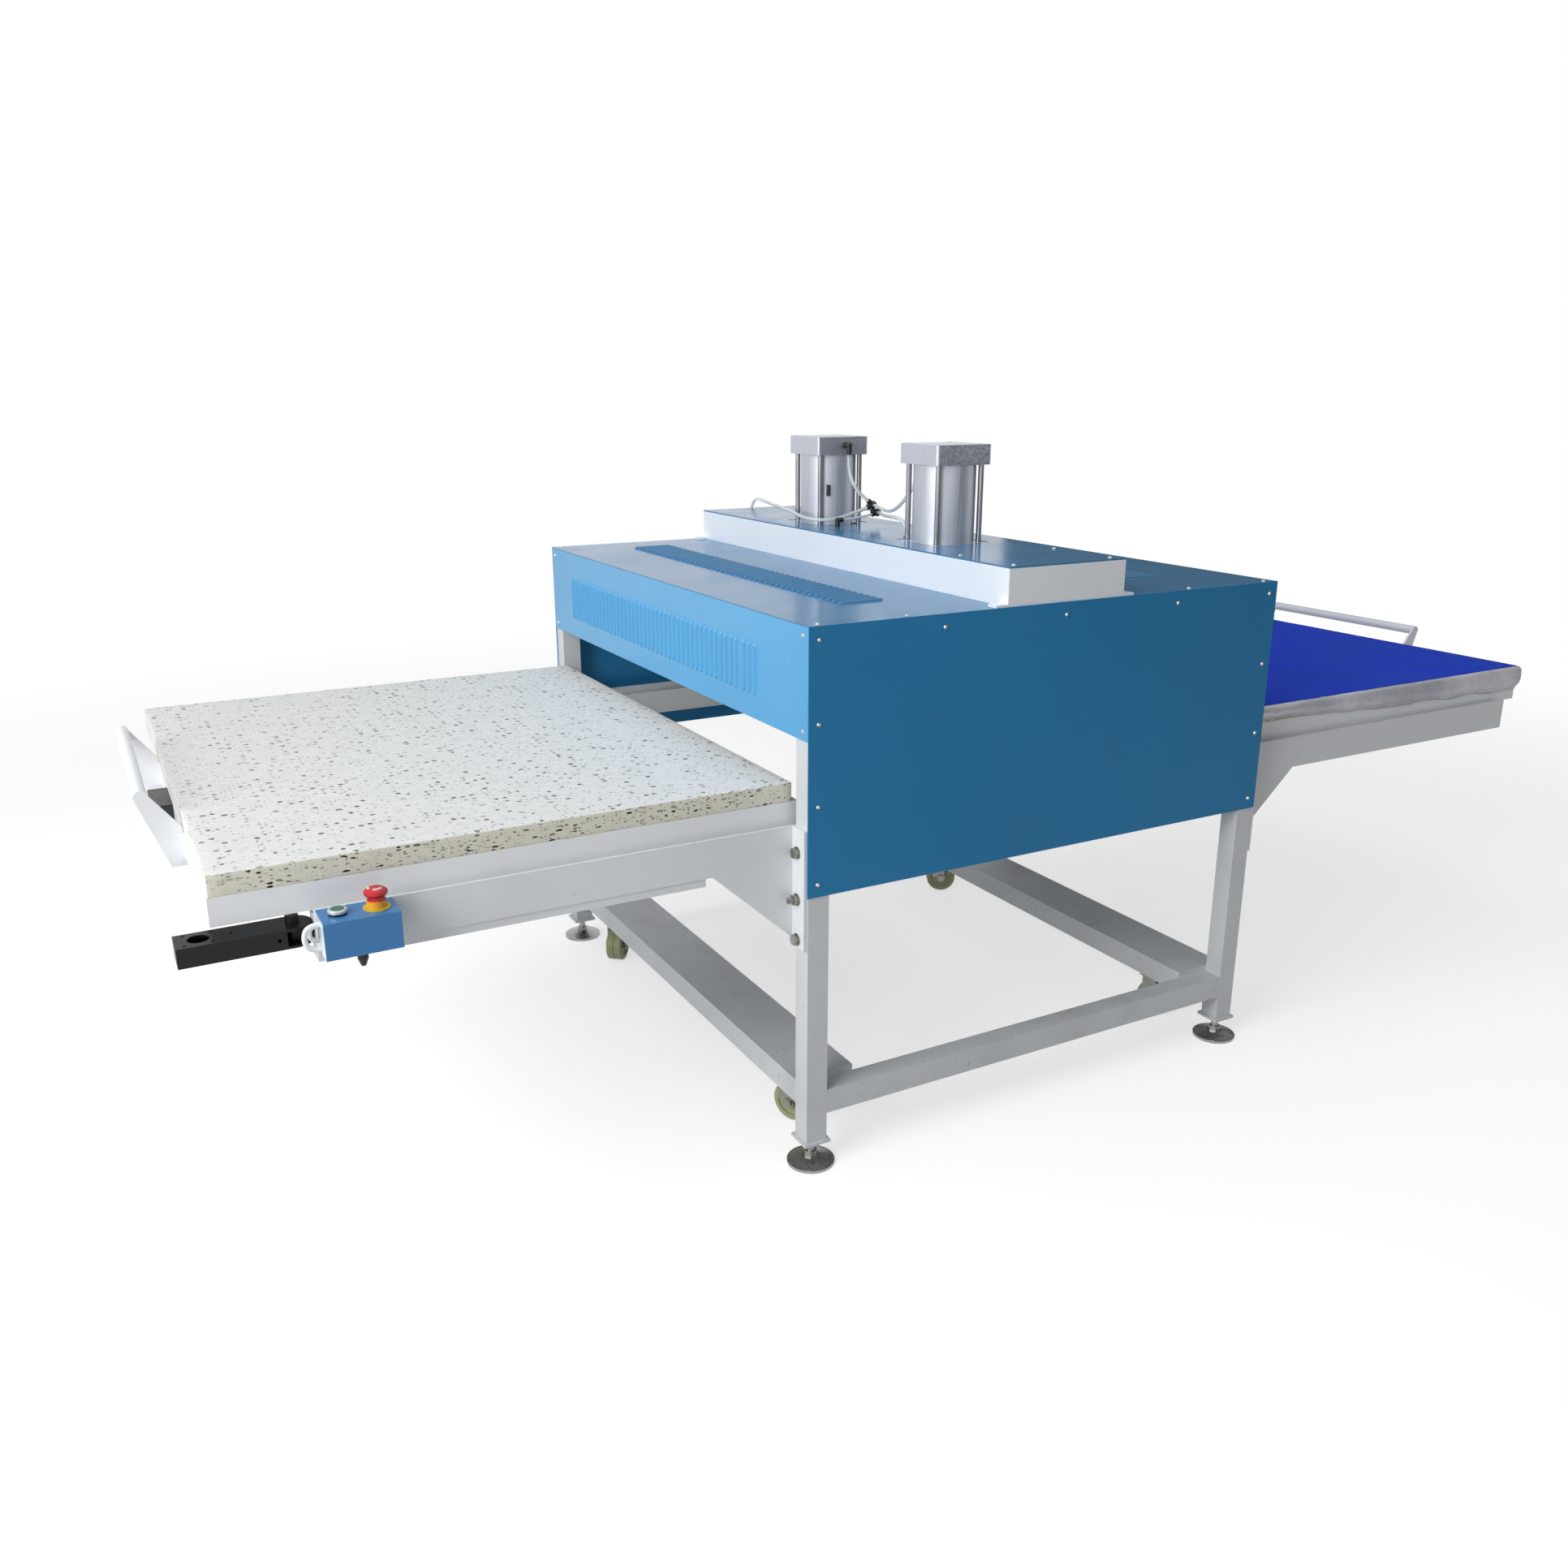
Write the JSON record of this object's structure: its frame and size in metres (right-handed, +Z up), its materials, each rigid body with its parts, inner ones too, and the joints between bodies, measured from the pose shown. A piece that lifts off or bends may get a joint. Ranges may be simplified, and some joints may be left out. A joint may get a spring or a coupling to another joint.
{
  "type": "pneumatic dual heat press",
  "caption": "Floor-standing heat press: cabin with a heated platen lowered by air cylinders, and a pull-out padded table on each side that slides under it.",
  "frame": {"origin": "on the floor under the middle of the cabin, midway between the two handles", "axes": "+X along the way the tables travel, towards the table with the cloth; -Y towards the side with the switch box; +Z up"},
  "size_m": [3.284, 1.3758, 1.355],
  "materials": {
    "frame_paint": "off-white gloss paint, lightly soiled",
    "beam_paint": "off-white gloss paint",
    "fascia_paint": "light blue gloss paint",
    "panel_paint": "mid blue gloss paint",
    "top_paint": "grey-blue gloss paint",
    "box_paint": "blue satin paint",
    "arm_paint": "black satin powder coat",
    "tray_paint": "off-white gloss paint",
    "cylinder_metal": "clear anodised",
    "rod_steel": "hard chromed and ground",
    "tie_steel": "bright turned",
    "zinc_steel": "zinc plated",
    "dark_steel": "pressed and blackened",
    "cover_steel": "folded sheet",
    "plate_metal": "machined face",
    "heater_metal": "sheathed",
    "blanket": "mineral fibre",
    "bush_metal": "turned",
    "pad_foam": "speckled pressed felt",
    "cloth_blue": "woven blue cloth with a silver hem",
    "caster_nylon": "moulded",
    "hose_clear": "clear tube",
    "cable_white": "spiral wrapped",
    "black_plastic": "moulded",
    "bezel_chrome": "bright plated",
    "green_plastic": "moulded",
    "red_plastic": "moulded",
    "yellow_plastic": "moulded"
  },
  "bodies": {
    "frame": {"legs": "frame_paint", "base_rails": "frame_paint", "top_rails": "frame_paint", "levelling_feet": "dark_steel", "caster_plates": "zinc_steel", "fascias": "fascia_paint", "side_panels": "panel_paint", "top_panels": "top_paint", "panel_screws": "zinc_steel", "crossbeam": "beam_paint", "crossbeam_cover": "top_paint", "cylinder_barrels": "cylinder_metal", "cylinder_caps": "cylinder_metal", "tie_rods": "tie_steel", "guide_bushes": "bush_metal", "cabin_tracks": "beam_paint", "beams_left": "beam_paint", "beams_right": "beam_paint", "beam_bolts": "zinc_steel", "control_box": "box_paint", "button_bezel": "bezel_chrome", "estop_collar": "yellow_plastic", "cable_glands": "zinc_steel", "cable_loop": "cable_white", "arm_post": "arm_paint", "cylinder_sensor": "black_plastic", "valve_block": "cylinder_metal", "air_fittings": "black_plastic", "air_tubes": "hose_clear"},
    "platen": {"heat_plate": "plate_metal", "heater_rods": "heater_metal", "insulation": "blanket", "platen_cover": "cover_steel", "platen_bearers": "frame_paint", "piston_rods": "rod_steel", "guide_rods": "rod_steel"},
    "left_table": {"tray_left": "tray_paint", "pad_left": "pad_foam", "handle_left": "tray_paint", "latch_left": "black_plastic"},
    "right_table": {"tray_right": "tray_paint", "pad_right": "pad_foam", "handle_right": "tray_paint", "cloth_right": "cloth_blue"},
    "left_inner_wheelset": {"wheelset_left_inner": "tie_steel"},
    "left_outer_wheelset": {"wheelset_left_outer": "tie_steel"},
    "right_inner_wheelset": {"wheelset_right_inner": "tie_steel"},
    "right_outer_wheelset": {"wheelset_right_outer": "tie_steel"},
    "start_button": {"green_button": "green_plastic"},
    "stop_stem": {"estop_stem": "black_plastic"},
    "stop_head": {"estop_head": "red_plastic"},
    "panel_arm": {"swivel_arm": "arm_paint"},
    "caster_1_fork": {"caster_fork_1": "zinc_steel"},
    "caster_1_wheel": {"caster_wheel_1": "caster_nylon"},
    "caster_2_fork": {"caster_fork_2": "zinc_steel"},
    "caster_2_wheel": {"caster_wheel_2": "caster_nylon"},
    "caster_3_fork": {"caster_fork_3": "zinc_steel"},
    "caster_3_wheel": {"caster_wheel_3": "caster_nylon"},
    "caster_4_fork": {"caster_fork_4": "zinc_steel"},
    "caster_4_wheel": {"caster_wheel_4": "caster_nylon"}
  },
  "joints": [
    {"name": "left_table_slide", "type": "slide", "parent": "frame", "child": "left_table", "axis": [1, 0, 0], "range_m": [0, 1.072]},
    {"name": "right_table_slide", "type": "slide", "parent": "frame", "child": "right_table", "axis": [1, 0, 0], "range_m": [-1.072, 0]},
    {"name": "left_inner_wheels_turn", "type": "hinge", "parent": "left_table", "child": "left_inner_wheelset", "pos_m": [-0.64, 0, 0.7063], "axis": [0, 1, 0], "range_deg": [0, 3413.3]},
    {"name": "left_outer_wheels_turn", "type": "hinge", "parent": "left_table", "child": "left_outer_wheelset", "pos_m": [-1.38, 0, 0.7063], "axis": [0, 1, 0], "range_deg": [0, 3413.3]},
    {"name": "right_inner_wheels_turn", "type": "hinge", "parent": "right_table", "child": "right_inner_wheelset", "pos_m": [0.64, 0, 0.7063], "axis": [0, 1, 0], "range_deg": [-3413.3, 0]},
    {"name": "right_outer_wheels_turn", "type": "hinge", "parent": "right_table", "child": "right_outer_wheelset", "pos_m": [1.38, 0, 0.7063], "axis": [0, 1, 0], "range_deg": [-3413.3, 0]},
    {"name": "platen_press", "type": "slide", "parent": "frame", "child": "platen", "axis": [0, 0, -1], "range_m": [0, 0.084], "stiffness_N_per_m": 36000, "springref_m": -0.05},
    {"name": "start_button_push", "type": "slide", "parent": "frame", "child": "start_button", "axis": [0, 0, -1], "range_m": [0, 0.004], "stiffness_N_per_m": 800, "springref_m": -0.001},
    {"name": "stop_push", "type": "slide", "parent": "frame", "child": "stop_stem", "axis": [0, 0, -1], "range_m": [0, 0.005]},
    {"name": "stop_twist", "type": "hinge", "parent": "stop_stem", "child": "stop_head", "pos_m": [-1.337, -0.65, 0.707], "axis": [0, 0, -1], "range_deg": [0, 45], "stiffness_Nm_per_rad": 0.05},
    {"name": "panel_arm_swivel", "type": "hinge", "parent": "frame", "child": "panel_arm", "pos_m": [-1.456, -0.592, 0.661], "axis": [0, 0, 1], "range_deg": [-90, 50]},
    {"name": "caster_1_swivel", "type": "hinge", "parent": "frame", "child": "caster_1_fork", "pos_m": [-0.508, -0.46, 0.108], "axis": [0, 0, 1], "continuous": true},
    {"name": "caster_1_roll", "type": "hinge", "parent": "caster_1_fork", "child": "caster_1_wheel", "pos_m": [-0.49744, -0.48266, 0.045], "axis": [0.9063, 0.4226, 0], "continuous": true},
    {"name": "caster_2_swivel", "type": "hinge", "parent": "frame", "child": "caster_2_fork", "pos_m": [-0.508, 0.46, 0.108], "axis": [0, 0, 1], "continuous": true},
    {"name": "caster_2_roll", "type": "hinge", "parent": "caster_2_fork", "child": "caster_2_wheel", "pos_m": [-0.52407, 0.44085, 0.045], "axis": [0.766, -0.6428, 0], "continuous": true},
    {"name": "caster_3_swivel", "type": "hinge", "parent": "frame", "child": "caster_3_fork", "pos_m": [0.508, -0.46, 0.108], "axis": [0, 0, 1], "continuous": true},
    {"name": "caster_3_roll", "type": "hinge", "parent": "caster_3_fork", "child": "caster_3_wheel", "pos_m": [0.51447, -0.48415, 0.045], "axis": [0.9659, 0.2588, 0], "continuous": true},
    {"name": "caster_4_swivel", "type": "hinge", "parent": "frame", "child": "caster_4_fork", "pos_m": [0.508, 0.46, 0.108], "axis": [0, 0, 1], "continuous": true},
    {"name": "caster_4_roll", "type": "hinge", "parent": "caster_4_fork", "child": "caster_4_wheel", "pos_m": [0.52965, 0.4475, 0.045], "axis": [0.5, 0.866, 0], "continuous": true}
  ],
  "couplings": [
    {"joint": "left_inner_wheels_turn", "follows": "left_table_slide", "rad_per_m": 55.556},
    {"joint": "left_outer_wheels_turn", "follows": "left_table_slide", "rad_per_m": 55.556},
    {"joint": "right_inner_wheels_turn", "follows": "right_table_slide", "rad_per_m": 55.556},
    {"joint": "right_outer_wheels_turn", "follows": "right_table_slide", "rad_per_m": 55.556}
  ]
}
